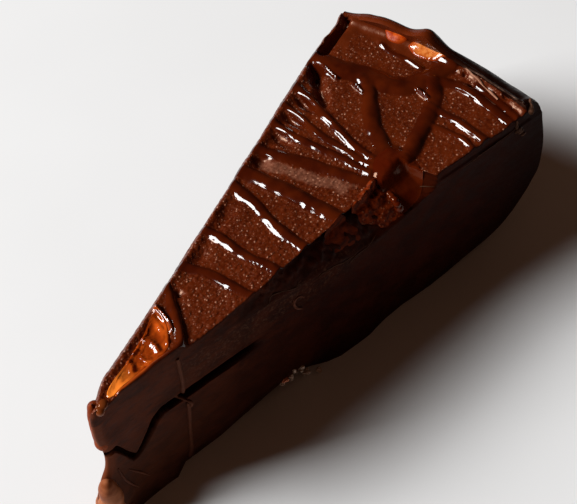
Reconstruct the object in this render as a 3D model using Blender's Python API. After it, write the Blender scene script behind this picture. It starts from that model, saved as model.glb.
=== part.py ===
"""A slice of layered chocolate cake with a glazed heel and a drizzled top.

The slice is one fourteenth of a round cake 24 cm across. It stands on z = 0 with its
narrow tip towards -X and its glazed heel towards +X. The cut face with the broken top
edge looks towards -Y. Lengths are in millimetres, and MM turns them into metres.
"""

import math

import bmesh
import bpy
from mathutils import Vector

MM = 0.001

# The whole cake and the cut
SLICES_IN_CAKE = 14
HALF_ANGLE = math.pi / SLICES_IN_CAKE
HEIGHT = 44.0
TIP_REACH = 6.7
HEEL_REACH = 126.2
CAKE_CENTRE_X = (TIP_REACH - HEEL_REACH) / 2
GAP = 0.3

# The slice was cut a little wide on its left side, most of all along its middle
LEFT_EXTRA = 2.15
LEFT_EXTRA_START = (-3.0, 5.0)
LEFT_EXTRA_EASES = (98.0, 114.0)
LEFT_EXTRA_LOST = 0.45
CAKE_CENTRE_Y = -LEFT_EXTRA * (1 - LEFT_EXTRA_LOST) / 2

# Radius of the glazed heel by height, from the curled-in base to the rim
HEEL_PROFILE = (
    (0.0, 101.0),
    (2.0, 108.5),
    (5.0, 114.3),
    (9.0, 119.0),
    (15.0, 123.6),
    (20.0, 125.9),
    (25.0, HEEL_REACH),
    (34.0, 124.8),
    (40.0, 122.7),
    (44.0, 121.4),
    (48.0, 119.9),
)
COAT_THICKNESS = 3.0
RIM_HEIGHT = 46.2

# How far the tip's nose stands beyond the cake's centre, by height
TIP_PROFILE = (
    (0.0, -4.6),
    (5.0, -6.2),
    (11.0, -TIP_REACH),
    (17.0, -5.4),
    (20.5, -3.4),
    (24.0, -2.7),
    (28.0, -2.9),
    (33.0, -3.8),
    (38.0, -4.0),
    (42.0, -3.7),
    (45.0, -2.4),
)
NOSE_X = -4.0
CUT_LENGTH = 120.0
NOSE_HALF_WIDTH = 1.25
NOSE_ROUNDING = 1.6

# The blob of chocolate that has run down to the tip's foot
FOOT_BULGE = 1.9
FOOT_HEIGHT = 8.0
FOOT_SPREAD = 6.0

# The two cake layers part at this height, and the upper one droops over the tip
LAYER_SPLIT = 27.5
TIP_DROOP = 9.5
DROOP_START = 13.0
DROOP_END = 3.0

# The open crevice between the layers on the cut face
CREVICE_DEPTH = 2.6
CREVICE_HALF_HEIGHT = 1.5
CREVICE_FADE = (26.0, 42.0)
MOST_OFFSET = 0.5

# Underside of the topping, from the tip to the heel
TOPPING_UNDERSIDE = ((-5.0, 39.8), (40.0, 39.6), (60.0, 38.6), (80.0, 39.0), (95.0, 40.4), (125.0, 40.8))

# The top edge broke off beside the cut: how far it stands back, and where the break ends below
EDGE_SET_BACK = ((24.0, 0.0), (39.0, 1.4), (56.0, 3.9), (73.0, 6.3), (81.0, 9.1), (85.4, 10.1), (87.6, 0.0))
EDGE_BREAK_FOOT = ((24.0, 41.0), (45.0, 38.8), (57.0, 37.2), (70.0, 35.4), (82.0, 38.4), (90.0, 41.0))

# The cut face's foot: how far it stands in at each place, out at the tip and torn in behind it
FOOT_INSET = (
    (-5.0, -1.4),
    (9.0, -1.5),
    (11.8, -1.7),
    (15.8, 0.4),
    (25.0, 0.4),
    (37.0, 1.6),
    (42.0, 2.3),
    (48.5, 3.2),
    (53.0, 1.5),
    (56.5, -0.2),
    (60.0, -1.0),
    (69.0, -0.8),
    (75.5, 0.1),
    (81.0, 0.7),
    (90.0, 0.6),
    (100.0, 1.1),
    (110.0, 1.6),
)
BASE_EDGE_HEIGHT = 7.0

# The slot that has opened beside the top's left edge at the heel
SLOT_DEPTH = 2.4
SLOT_FROM_EDGE = 1.4
SLOT_HALF_WIDTH = 1.2
SLOT_START = (101.0, 105.0)

# Stations that slice each layer's block lengthwise, crosswise and upwards
STATIONS_ALONG = 34
STATION_GROWTH = 1.35
NOSE_STATION = 0.004
BREAK_STATIONS = (0.742, 0.756, 0.770)
STATIONS_ACROSS = (-0.92, -0.72, -0.45, -0.15, 0.15, 0.45, 0.68, 0.84, 0.91, 0.95)
LOWER_HEIGHTS = (1.0, 2.5, 5.0, 8.0, 11.5, 15.0, 19.0, 22.5, 24.5, 26.2)
UPPER_LEVELS = (0.08, 0.2, 0.38, 0.6, 0.8)
TOPPING_LEVELS = (0.35, 0.7)
COAT_HEIGHTS = (*LOWER_HEIGHTS, 30.0, 34.0, 38.0, 41.0, 43.5, 45.2)
COAT_STATIONS_ACROSS = 14

# Thick drizzle on the top: width, then the points that it runs through (x from the centre, y)
DRIZZLE_HEIGHT = 1.15
DRIZZLE_SINK = 0.25
DRIZZLE_STEP = 3.2
DRIZZLE_RESOLUTION = 3
CROSS_STRANDS = {
    "strand_1": (2.6, ((34.2, 9.0), (36.7, 2.0), (37.0, -3.5), (38.0, -7.2))),
    "strand_2": (2.8, ((44.6, 11.4), (45.0, 5.0), (44.7, -0.9), (45.5, -7.6))),
    "strand_3": (3.6, ((58.4, 14.4), (56.6, 6.9), (54.6, -1.0), (53.9, -8.0))),
    "strand_4": (4.4, ((62.2, 15.3), (63.8, 7.0), (64.4, -1.0), (64.9, -9.0))),
    "strand_5": (3.4, ((69.6, 17.1), (71.2, 10.0), (73.8, 2.0), (77.0, -8.0))),
    "strand_6": (3.2, ((78.3, 18.9), (77.5, 10.0), (78.3, 3.5), (79.4, -7.6))),
    "strand_7": (3.0, ((84.0, 20.2), (81.8, 9.5), (81.2, 1.0), (80.6, -7.0))),
    "strand_8": (3.2, ((90.0, 21.4), (87.4, 13.0), (85.0, 5.5), (83.2, -3.0), (82.2, -9.0))),
}
HEEL_STRANDS = {
    "broad_band": (
        6.4,
        ((99.8, 23.6), (100.8, 17.0), (102.4, 11.0), (104.2, 4.0), (107.0, 0.0), (112.0, -2.0), (116.2, -2.4)),
    ),
    "corner_strand": (3.6, ((114.0, 22.6), (109.3, 19.4), (103.1, 16.6))),
    "left_feeder": (4.0, ((101.4, 10.9), (99.6, 7.4), (95.8, 4.3), (91.6, 0.4), (88.2, -4.0), (83.6, -9.2))),
    "right_feeder": (
        4.4,
        ((110.6, -3.4), (106.8, -6.4), (102.3, -7.9), (98.0, -9.5), (91.0, -11.8), (86.4, -12.0), (81.8, -10.2)),
    ),
    "branch_1": (2.8, ((104.2, -7.4), (103.8, -14.5), (102.6, -22.0))),
    "branch_2": (2.2, ((99.2, -9.6), (99.8, -16.3), (98.6, -21.2))),
    "branch_3": (3.0, ((111.4, -4.0), (113.0, -12.3), (110.9, -23.8))),
    "branch_4": (2.2, ((114.3, -15.6), (113.3, -20.5), (112.2, -24.2))),
}
TIP_RIM_WIDTH = 2.2
TIP_RIM = ((27.0, 5.2), (25.0, 4.2), (23.2, 1.2), (21.0, -1.6), (18.0, -3.4), (13.5, -3.0), (8.0, -1.9), (3.0, -1.0))

# Where the strands meet, and the strand that runs from there down over the broken edge
MEETING_POINT = (83.6, -8.2)
MEETING_SIZE = (5.0, 3.6)
MEETING_HEIGHT = 1.4
SPILL_WIDTH = 3.8
SPILL = ((84.0, -8.6), (82.0, -10.2), (80.8, -11.6))

COLOURS = {
    "lower_layer": (0.030, 0.011, 0.006),
    "upper_layer": (0.045, 0.016, 0.008),
    "topping": (0.105, 0.026, 0.008),
    "heel_coat": (0.035, 0.015, 0.009),
}
ROUGHNESS = {"lower_layer": 0.55, "upper_layer": 0.5, "topping": 0.25, "heel_coat": 0.3}


def through(knots, value):
    """A smooth curve through (place, size) pairs, level beyond both ends."""
    if value <= knots[0][0]:
        return knots[0][1]
    if value >= knots[-1][0]:
        return knots[-1][1]
    last = len(knots) - 1
    i = max(n for n in range(last) if knots[n][0] <= value)
    slopes = []
    for n in (i, i + 1):
        before = knots[max(n - 1, 0)]
        after = knots[min(n + 1, last)]
        slopes.append((after[1] - before[1]) / (after[0] - before[0]))
    span = knots[i + 1][0] - knots[i][0]
    t = (value - knots[i][0]) / span
    rise = knots[i][1] * (2 * t**3 - 3 * t**2 + 1) + knots[i + 1][1] * (3 * t**2 - 2 * t**3)
    return rise + span * (slopes[0] * (t**3 - 2 * t**2 + t) + slopes[1] * (t**3 - t**2))


def straight(knots, value):
    """Straight stretches between (place, size) pairs, level beyond both ends."""
    if value <= knots[0][0]:
        return knots[0][1]
    for (x0, y0), (x1, y1) in zip(knots, knots[1:]):
        if value <= x1:
            return y0 + (y1 - y0) * (value - x0) / (x1 - x0)
    return knots[-1][1]


def fade(start, end, value):
    """Rises smoothly from 0 at start to 1 at end."""
    t = min(max((value - start) / (end - start), 0.0), 1.0)
    return t * t * (3 - 2 * t)


def bell(offset, width):
    return math.exp(-((offset / width) ** 2))


def left_extra(x):
    """How far the left cut face stands out from the plane of an even cut."""
    eased = 1 - LEFT_EXTRA_LOST * fade(*LEFT_EXTRA_EASES, x)
    return LEFT_EXTRA * fade(*LEFT_EXTRA_START, x) * eased


def split_height(x):
    """Height at which the two cake layers part: level, then down over the tip."""
    return LAYER_SPLIT - TIP_DROOP * (1 - fade(DROOP_END, DROOP_START, x))


def top_height(x, y):
    """Height of the top without its drizzle, with the slot beside the left edge."""
    from_edge = x * math.tan(HALF_ANGLE) + left_extra(x) - y
    opened = fade(*SLOT_START, x)
    return HEIGHT - SLOT_DEPTH * opened * bell(from_edge - SLOT_FROM_EDGE, SLOT_HALF_WIDTH)


def half_width(x, z):
    """Half the slice's width at a station, with a rounded nose and the blob at the foot."""
    flank = x * math.tan(HALF_ANGLE)
    width = (math.hypot(flank, 2 * NOSE_HALF_WIDTH) + flank) / 2
    from_tip = x - through(TIP_PROFILE, z)
    rounding = min(from_tip / NOSE_ROUNDING, 1.0)
    width *= math.sqrt(max(1 - (1 - rounding) ** 2, 0.12))
    return width + FOOT_BULGE * bell(z - FOOT_HEIGHT, FOOT_SPREAD) * bell(x + 2.5, 5.0)


def cut_face_offset(x, z):
    """How far the visible cut face stands in from the plane of the cut."""
    crevice = CREVICE_DEPTH * (1 - fade(*CREVICE_FADE, x))
    crevice *= bell(z - split_height(x), CREVICE_HALF_HEIGHT)
    foot = straight(EDGE_BREAK_FOOT, x)
    broken = straight(EDGE_SET_BACK, x) * min(max((z - foot) / (HEIGHT - foot), 0.0), 1.0)
    near_base = max(1 - z / BASE_EDGE_HEIGHT, 0.0) ** 2
    return crevice + broken + straight(FOOT_INSET, x) * near_base


def station_x(along):
    """Place of a station on the slice's middle line, which the layers share."""
    return NOSE_X + (CUT_LENGTH - NOSE_X) * along


def slice_point(along, across, z, heel_gap):
    """A point of the slice: along from tip to heel, across from -1 at the visible cut to 1."""
    heel = (through(HEEL_PROFILE, z) - heel_gap) * math.cos(across * HALF_ANGLE)
    tip = through(TIP_PROFILE, z)
    x = tip + (heel - tip) * along
    width = half_width(x, z)
    if across < 0:
        width -= min(cut_face_offset(x, z), width * MOST_OFFSET)
    else:
        width += left_extra(x)
    return x, across * width


def stations_along():
    even = [(n / STATIONS_ALONG) ** STATION_GROWTH for n in range(1, STATIONS_ALONG)]
    return sorted([NOSE_STATION, *even, *BREAK_STATIONS])


def block(name, along, across, up, place):
    """A block from 0 to 1, -1 to 1 and 0 to 1, sliced at its stations and shaped by place."""
    bm = bmesh.new()
    bmesh.ops.create_cube(bm, size=1.0)
    bmesh.ops.translate(bm, verts=bm.verts, vec=(0.5, 0.0, 0.5))
    bmesh.ops.scale(bm, verts=bm.verts, vec=(1.0, 2.0, 1.0))
    for axis, stations in enumerate((along, across, up)):
        normal = Vector([float(n == axis) for n in range(3)])
        for station in stations:
            geometry = bm.verts[:] + bm.edges[:] + bm.faces[:]
            bmesh.ops.bisect_plane(bm, geom=geometry, dist=1e-6, plane_co=normal * station, plane_no=normal)
    for vertex in bm.verts:
        x, y, z = place(*vertex.co)
        vertex.co = Vector((x + CAKE_CENTRE_X, y + CAKE_CENTRE_Y, z)) * MM
    mesh = bpy.data.meshes.new(name)
    bm.to_mesh(mesh)
    bm.free()
    return bpy.data.objects.new(name, mesh)


def finish(obj, collection):
    """Puts a piece in the slice's collection with its own material and smooth rounds."""
    material = bpy.data.materials.new(obj.name)
    material.use_nodes = True
    shader = material.node_tree.nodes["Principled BSDF"]
    shader.inputs["Base Color"].default_value = (*COLOURS[obj.name], 1.0)
    shader.inputs["Roughness"].default_value = ROUGHNESS[obj.name]
    obj.data.materials.clear()
    obj.data.materials.append(material)
    obj.data.shade_smooth()
    obj.data.set_sharp_from_angle(angle=math.radians(40))
    if obj.name not in collection.objects:
        collection.objects.link(obj)
    return obj


def lower_layer(collection):
    def place(along, across, up):
        z = up * (split_height(station_x(along)) - GAP / 2)
        return *slice_point(along, across, z, COAT_THICKNESS + GAP), z

    levels = [height / (LAYER_SPLIT - GAP / 2) for height in LOWER_HEIGHTS]
    made = block("lower_layer", stations_along(), STATIONS_ACROSS, levels, place)
    return finish(made, collection)


def upper_layer(collection):
    def place(along, across, up):
        low = split_height(station_x(along)) + GAP / 2
        high = through(TOPPING_UNDERSIDE, station_x(along)) - GAP / 2
        z = low + up * (high - low)
        return *slice_point(along, across, z, COAT_THICKNESS + GAP), z

    made = block("upper_layer", stations_along(), STATIONS_ACROSS, UPPER_LEVELS, place)
    return finish(made, collection)


def topping_slab():
    def place(along, across, up):
        low = through(TOPPING_UNDERSIDE, station_x(along)) + GAP / 2
        high = top_height(*slice_point(along, across, HEIGHT, COAT_THICKNESS + GAP))
        z = low + up * (high - low)
        return *slice_point(along, across, z, COAT_THICKNESS + GAP), z

    return block("topping", stations_along(), STATIONS_ACROSS, TOPPING_LEVELS, place)


def rim_height(across):
    """The glazed rim: uneven, with a flake that stands up near its middle and a corner fin."""
    wave = 0.5 * math.sin(5.0 * across) + 0.3 * math.sin(13.0 * across + 1.0)
    flake = 2.7 * bell(across - 0.16, 0.12)
    fin = 0.9 * bell(across + 0.97, 0.05)
    return RIM_HEIGHT + wave + flake + fin - 1.6 * fade(0.6, 1.0, across)


def heel_coat(collection):
    """The glaze round the cake's side: a curved wall that rises into the rim."""

    def place(through_wall, across, up):
        z = up * RIM_HEIGHT
        z += (rim_height(across) - RIM_HEIGHT) * fade(HEIGHT - 4, RIM_HEIGHT, z)
        outer = through(HEEL_PROFILE, z) + 1.5 * bell(across - 0.16, 0.12) * bell(z - RIM_HEIGHT, 4.0)
        inner = through(HEEL_PROFILE, z) - COAT_THICKNESS
        shoulder = 1.3 * (1 - through_wall) if z > HEIGHT else 0.0
        radius = inner + (outer - inner) * through_wall + shoulder
        angle = across * HALF_ANGLE
        x = radius * math.cos(angle)
        if across < -0.99:
            return x, cut_face_offset(x, z) - radius * math.sin(HALF_ANGLE), z
        return x, radius * math.sin(angle) + max(across, 0.0) * left_extra(x), z

    across = [2 * n / COAT_STATIONS_ACROSS - 1 for n in range(1, COAT_STATIONS_ACROSS)]
    up = [height / RIM_HEIGHT for height in COAT_HEIGHTS]
    return finish(block("heel_coat", (), across, up, place), collection)


def smooth_route(points):
    """Points at an even step along a smooth curve through a route's own points."""
    route = [Vector(p) for p in points]
    ends = [route[0] * 2 - route[1], *route, route[-1] * 2 - route[-2]]
    out = []
    for a, b, c, d in zip(ends, ends[1:], ends[2:], ends[3:]):
        steps = max(1, round((c - b).length / DRIZZLE_STEP))
        for n in range(steps):
            t = n / steps
            bend = (2 * a - 5 * b + 4 * c - d) * t**2 + (3 * b - a - 3 * c + d) * t**3
            out.append((2 * b + (c - a) * t + bend) / 2)
    return [*out, route[-1]]


def resting_height(x, y):
    """Height of what the drizzle lies on, the slope of the broken edge included."""
    cut_plane = -half_width(x, HEIGHT)
    set_back = straight(EDGE_SET_BACK, x)
    if y > cut_plane + set_back or set_back < 0.5:
        return top_height(x, y)
    foot = straight(EDGE_BREAK_FOOT, x)
    return foot + (HEIGHT - foot) * max(y - cut_plane, 0.0) / set_back


def strand(name, width, points, collection):
    """A rounded strand of drizzle, flatter than it is wide, laid on the top."""
    curve = bpy.data.curves.new(name, "CURVE")
    curve.dimensions = "3D"
    curve.bevel_depth = width / 2 * MM
    curve.bevel_resolution = DRIZZLE_RESOLUTION
    curve.use_fill_caps = True
    route = smooth_route(points)
    spline = curve.splines.new("POLY")
    spline.points.add(len(route) - 1)
    for n, (point, at) in enumerate(zip(spline.points, route)):
        point.co = (at.x * MM, at.y * MM, 0.0, 1.0)
        point.radius = 1.0 + 0.10 * math.sin(2.1 * n + 7.0 * width)
    guide = bpy.data.objects.new(name, curve)
    collection.objects.link(guide)
    graph = bpy.context.evaluated_depsgraph_get()
    mesh = bpy.data.meshes.new_from_object(guide.evaluated_get(graph))
    bpy.data.objects.remove(guide)
    bm = bmesh.new()
    bm.from_mesh(mesh)
    bmesh.ops.remove_doubles(bm, verts=bm.verts, dist=1e-6)
    bmesh.ops.scale(bm, verts=bm.verts, vec=(1.0, 1.0, DRIZZLE_HEIGHT / (width / 2)))
    return laid_on_top(name, bm, collection)


def meeting_pool(collection):
    """The low round pool in which the strands run together."""
    bm = bmesh.new()
    bmesh.ops.create_uvsphere(bm, u_segments=24, v_segments=10, radius=MM)
    bmesh.ops.scale(bm, verts=bm.verts, vec=(*MEETING_SIZE, MEETING_HEIGHT))
    bmesh.ops.translate(bm, verts=bm.verts, vec=Vector((*MEETING_POINT, 0.0)) * MM)
    return laid_on_top("meeting_pool", bm, collection)


def laid_on_top(name, bm, collection):
    """Lowers a flat-lying shape onto what is under it, and makes it an object."""
    for vertex in bm.verts:
        x, y, z = vertex.co / MM
        lowest = through(TOPPING_UNDERSIDE, x) + 2 * GAP
        z = max(resting_height(x, y) - DRIZZLE_SINK + z, lowest)
        vertex.co = Vector((x + CAKE_CENTRE_X, y + CAKE_CENTRE_Y, z)) * MM
    mesh = bpy.data.meshes.new(name)
    bm.to_mesh(mesh)
    bm.free()
    made = bpy.data.objects.new(name, mesh)
    collection.objects.link(made)
    return made


def topping(collection):
    """The bubbly top layer with its drizzle joined to it."""
    slab = topping_slab()
    collection.objects.link(slab)
    drizzle = bpy.data.collections.new("drizzle")
    bpy.context.scene.collection.children.link(drizzle)
    for name, (width, points) in {**CROSS_STRANDS, **HEEL_STRANDS}.items():
        strand(name, width, points, drizzle)
    strand("tip_rim", TIP_RIM_WIDTH, TIP_RIM, drizzle)
    strand("spill", SPILL_WIDTH, SPILL, drizzle)
    meeting_pool(drizzle)
    join = slab.modifiers.new("drizzle", "BOOLEAN")
    join.operation = "UNION"
    join.operand_type = "COLLECTION"
    join.collection = drizzle
    join.solver = "EXACT"
    graph = bpy.context.evaluated_depsgraph_get()
    joined = bpy.data.meshes.new_from_object(slab.evaluated_get(graph))
    slab.modifiers.remove(join)
    slab.data = joined
    for obj in list(drizzle.objects):
        bpy.data.objects.remove(obj)
    bpy.data.collections.remove(drizzle)
    return finish(slab, collection)


def main():
    for obj in list(bpy.data.objects):
        bpy.data.objects.remove(obj)
    cake = bpy.data.collections.new("chocolate_cake_slice")
    bpy.context.scene.collection.children.link(cake)
    lower_layer(cake)
    upper_layer(cake)
    topping(cake)
    heel_coat(cake)


main()
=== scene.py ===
"""Everything that finishes a slice of layered chocolate cake: fine surfaces, sauce, drips, crumbs and light.

Lengths are in millimetres, measured from the centre of the whole round cake, with the slice's
tip towards -X and its glazed heel towards +X. set_points(), fused() and thread() move them to the
frame in metres.
"""

import itertools
import math

import bpy
import numpy as np
from mathutils import Matrix, Vector


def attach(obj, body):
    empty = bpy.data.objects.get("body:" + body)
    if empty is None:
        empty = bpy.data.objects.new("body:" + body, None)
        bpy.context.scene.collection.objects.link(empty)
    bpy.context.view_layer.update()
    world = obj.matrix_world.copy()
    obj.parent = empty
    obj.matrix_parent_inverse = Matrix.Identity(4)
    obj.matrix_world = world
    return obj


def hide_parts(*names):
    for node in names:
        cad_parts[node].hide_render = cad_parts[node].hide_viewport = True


MM = 0.001
HALF_ANGLE = math.pi / 14
SLOPE = math.tan(HALF_ANGLE)
HEIGHT = 44.0
CAKE_CENTRE_X = -59.75
CAKE_CENTRE_Y = -0.59125
LEFT_EXTRA = 2.15
OVERLAP = 0.06
COAT_OVERLAP = 0.4
DEEPEST_SHARE = 0.62
BREAK_TOP_SHARE = 0.86
TINY = 1e-6

# Random tables, and shifts that keep the numbers of their cells above zero
TABLE_SIZE = 4096
LUMP_SHIFT = 913.7
BUBBLE_SHIFT = 517.3

# The slice's form, the same as the solids': heel radius and tip reach by height
HEEL_PROFILE = (
    (0.0, 101.0), (2.0, 108.5), (5.0, 114.3), (9.0, 119.0), (15.0, 123.6), (20.0, 125.9), (25.0, 126.2),
    (34.0, 124.8), (40.0, 122.7), (44.0, 121.4), (48.0, 119.9),
)
COAT_THICKNESS = 3.0
TIP_PROFILE = (
    (0.0, -4.6), (5.0, -6.2), (11.0, -6.7), (17.0, -5.4), (20.5, -3.4), (24.0, -2.7), (28.0, -2.9),
    (33.0, -3.8), (38.0, -4.0), (42.0, -3.7), (45.0, -2.4),
)
NOSE_X = -4.0
CUT_LENGTH = 120.0
NOSE_HALF_WIDTH = 1.25
NOSE_ROUNDING = 1.6

# By place along the slice: the topping's underside, how far its broken edge stands back, the foot of
# that break, and how far the cake's own foot stands in
TOPPING_UNDERSIDE = ((-5.0, 39.8), (40.0, 39.6), (60.0, 38.6), (80.0, 39.0), (95.0, 40.4), (125.0, 40.8))
EDGE_SET_BACK = ((24.0, 0.0), (39.0, 1.4), (56.0, 3.9), (73.0, 6.3), (81.0, 9.1), (85.4, 10.1), (87.6, 0.0))
EDGE_BREAK_FOOT = ((24.0, 41.0), (45.0, 38.8), (57.0, 37.2), (70.0, 35.4), (82.0, 38.4), (90.0, 41.0))
FOOT_INSET = (
    (-5.0, -1.4), (9.0, -1.5), (11.8, -1.7), (15.8, 0.4), (25.0, 0.4), (37.0, 1.6), (42.0, 2.3),
    (48.5, 3.2), (53.0, 1.5), (56.5, -0.2), (60.0, -1.0), (69.0, -0.8), (75.5, 0.1), (81.0, 0.7),
    (90.0, 0.6), (100.0, 1.1), (110.0, 1.6),
)

# Drizzle on the top: width, height, then the points that the strand runs through
STRANDS = {
    "strand_1": (2.35, 0.72, (
        (33.0, 12.0), (34.4, 9.6), (35.9, 6.0), (36.7, 2.0), (36.8, -1.8), (37.4, -6.4), (38.3, -9.4),
    )),
    "strand_2": (2.5, 0.78, (
        (44.3, 14.2), (44.9, 11.0), (45.2, 8.7), (44.9, 3.5), (44.8, -0.9), (45.5, -4.7), (45.6, -9.9),
    )),
    "strand_3": (3.0, 0.9, (
        (59.0, 17.0), (58.0, 13.4), (56.7, 6.9), (55.2, 1.9), (54.4, -2.3), (53.9, -9.4),
    )),
    "strand_4": (4.0, 1.0, (
        (61.4, 18.0), (62.6, 14.6), (63.6, 8.3), (64.2, 0.9), (64.4, -3.5), (64.9, -10.8),
    )),
    "strand_5": (3.2, 0.95, (
        (68.8, 19.6), (70.4, 14.5), (71.4, 10.6), (72.7, 6.7), (74.4, 0.2), (75.5, -4.2), (77.0, -9.0),
    )),
    "strand_6": (2.3, 0.72, (
        (78.6, 21.6), (77.9, 16.0), (77.6, 12.0), (77.9, 8.3), (78.2, 4.5), (78.8, 1.0), (79.2, -7.6),
    )),
    "strand_7": (2.2, 0.72, (
        (84.4, 23.0), (83.3, 16.2), (82.3, 11.6), (81.4, 7.3), (81.3, 2.9), (81.3, -1.0), (80.9, -7.0),
    )),
    "strand_8": (2.5, 0.85, (
        (90.8, 24.4), (89.7, 19.3), (88.5, 14.8), (87.0, 11.1), (85.8, 7.4), (84.6, 4.0), (83.6, -0.1),
        (82.8, -5.7),
    )),
    "broad_band": (6.0, 0.95, (
        (99.2, 27.0), (100.0, 22.6), (100.6, 18.2), (101.9, 13.7), (103.0, 9.0), (104.0, 4.4), (106.1, 0.6),
        (109.1, -1.3), (113.7, -2.2), (117.6, -2.5),
    )),
    "left_feeder": (4.0, 1.0, (
        (101.6, 10.9), (100.0, 7.7), (95.8, 4.3), (91.9, 0.7), (88.4, -3.7), (85.9, -7.6), (84.0, -9.0),
    )),
    "right_feeder": (3.9, 1.0, (
        (110.9, -3.1), (107.0, -6.0), (102.3, -7.9), (98.4, -9.2), (94.6, -10.2), (90.2, -11.4),
        (86.9, -11.6), (83.2, -10.2),
    )),
    "heel_ridge": (1.6, 0.5, (
        (113.4, 13.6), (112.6, 10.4), (112.9, 7.4), (113.0, 5.4), (112.6, 1.6),
    )),
    "branch_1": (2.5, 0.85, (
        (104.0, -6.6), (103.7, -11.1), (103.8, -14.5), (103.1, -18.2), (102.4, -24.0),
    )),
    "branch_2": (1.8, 0.55, (
        (98.9, -9.4), (99.7, -13.2), (99.8, -16.3), (99.9, -19.0), (98.4, -23.0),
    )),
    "branch_3": (3.2, 0.9, (
        (111.4, -3.6), (112.9, -8.2), (113.0, -12.3), (112.4, -16.2), (110.4, -25.4),
    )),
    "branch_4": (2.2, 0.7, (
        (115.6, -12.4), (114.5, -18.0), (113.3, -22.8), (112.2, -26.2),
    )),
    "tip_rim": (2.5, 1.15, (
        (28.8, 8.9), (27.2, 6.4), (25.0, 3.4), (23.0, 0.6), (21.2, -1.8), (19.6, -3.4), (17.2, -4.0),
        (13.2, -3.2), (8.6, -2.4), (3.6, -1.8),
    )),
}

MATT_STRIP = ((67.6, 11.8), (69.0, 6.7), (70.6, 0.9), (72.6, -5.5))

# Small ridges that catch the light: each end's place and height, then the ridge's half width
GLINT_RIDGES = (
    (99.7, 22.0, 1.0, 98.0, 15.6, 0.9, 0.6),
    (98.9, 10.9, 1.0, 97.9, 7.9, 0.8, 0.6),
    (106.2, -1.8, 1.2, 105.6, -5.2, 1.1, 0.6),
    (22.8, 6.2, 1.0, 21.9, 1.8, 1.0, 0.65),
    (21.9, 1.8, 1.0, 20.9, 0.0, 0.9, 0.65),
)

# Hollows and pits in the top: centre, half length, half width, turn in degrees, depth
TOP_HOLLOWS = (
    (96.2, 20.2, 5.0, 1.5, 46.0, 3.0),
    (91.6, 15.2, 3.4, 1.5, 50.0, 2.4),
    (87.2, 16.2, 2.8, 1.2, 78.0, 1.6),
    (81.6, 15.0, 2.8, 1.2, 84.0, 1.4),
    (75.4, 13.8, 2.6, 1.4, 84.0, 1.1),
    (67.4, 13.8, 2.0, 1.6, 80.0, 0.9),
    (51.8, 10.4, 2.2, 1.9, 80.0, 0.35),
    (40.6, 7.8, 1.4, 1.8, 60.0, 0.3),
    (29.0, 5.0, 1.1, 0.8, 60.0, 0.9),
    (114.6, -11.0, 0.6, 0.6, 0.0, 1.6),
    (117.1, -7.9, 0.7, 0.6, 0.0, 1.2),
    (120.2, 6.2, 3.2, 1.2, 108.0, 1.4),
    (116.6, -19.6, 1.2, 0.8, 70.0, 1.0),
)

# Outlines of what lies on the top, seen from above
TIP_SAUCE = (
    (22.6, 6.0), (22.3, 4.0), (21.0, 1.4), (19.2, -0.8), (17.4, -2.1), (14.9, -2.3), (12.0, -1.8),
    (8.2, -1.4), (4.8, -1.2), (2.4, -1.0), (1.2, -0.1), (3.0, 1.1), (6.6, 1.8), (10.4, 2.5), (14.2, 3.4),
    (17.4, 4.2), (20.6, 5.6),
)
SPILLED_DRIZZLE = (
    (79.0, -8.4), (81.4, -6.8), (84.6, -6.2), (87.8, -7.8), (88.8, -11.0), (88.0, -14.6), (86.4, -17.0),
    (83.6, -18.2), (80.6, -17.9), (77.8, -17.4), (77.0, -15.9), (77.6, -13.2), (77.9, -10.6),
)
SPILLED_TOPPING = (
    (80.4, -10.0), (80.8, -13.0), (80.0, -16.2), (77.2, -17.3), (74.2, -16.6), (71.2, -14.4), (68.6, -12.6),
    (67.6, -11.2), (70.4, -9.6), (74.4, -9.2), (77.6, -9.2),
)
SLUMPED_PIECE = (
    (59.0, -9.7), (62.6, -9.4), (66.5, -10.2), (69.6, -12.0), (69.4, -13.7), (66.4, -13.9), (62.6, -13.0),
    (59.4, -12.0),
)
HEEL_SAUCE_1 = ((117.3, 15.4), (118.2, 13.8), (118.6, 11.1), (117.8, 9.0), (115.9, 10.2), (115.6, 13.4))
HEEL_SAUCE_2 = (
    (116.6, 8.2), (118.5, 7.2), (119.3, 3.6), (119.2, -1.3), (117.4, -1.7), (115.7, 1.2), (115.3, 5.2),
)

# Folds and ripples in what is poured: width, height, then the points that each runs through
TIP_SAUCE_RIPPLES = (
    (1.8, 0.8, ((21.4, 5.0), (20.9, 3.4), (19.9, 1.6), (18.5, -0.5))),
    (1.3, 0.75, ((15.2, 4.4), (16.2, 2.4), (16.1, 0.7), (15.4, -1.2))),
    (1.1, 0.65, ((8.6, 3.4), (9.6, 2.4), (9.6, 1.2), (8.8, 0.0))),
    (0.8, 0.5, ((11.8, 2.8), (13.0, 2.6))),
    (1.0, 0.25, ((12.4, 0.8), (12.2, -1.0), (11.6, -2.4))),
    (1.0, 0.25, ((5.6, 1.2), (5.6, -0.4), (5.0, -1.6))),
)
DRIZZLE_FOLD = ((1.5, 0.45, ((79.6, -13.6), (78.8, -15.0), (78.2, -16.6))),)
TOPPING_FOLDS = (
    (1.2, 0.45, ((69.0, -11.6), (73.0, -12.6), (78.0, -12.6))),
    (1.0, 0.45, ((73.0, -15.0), (76.4, -15.4), (79.6, -14.6))),
)

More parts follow.
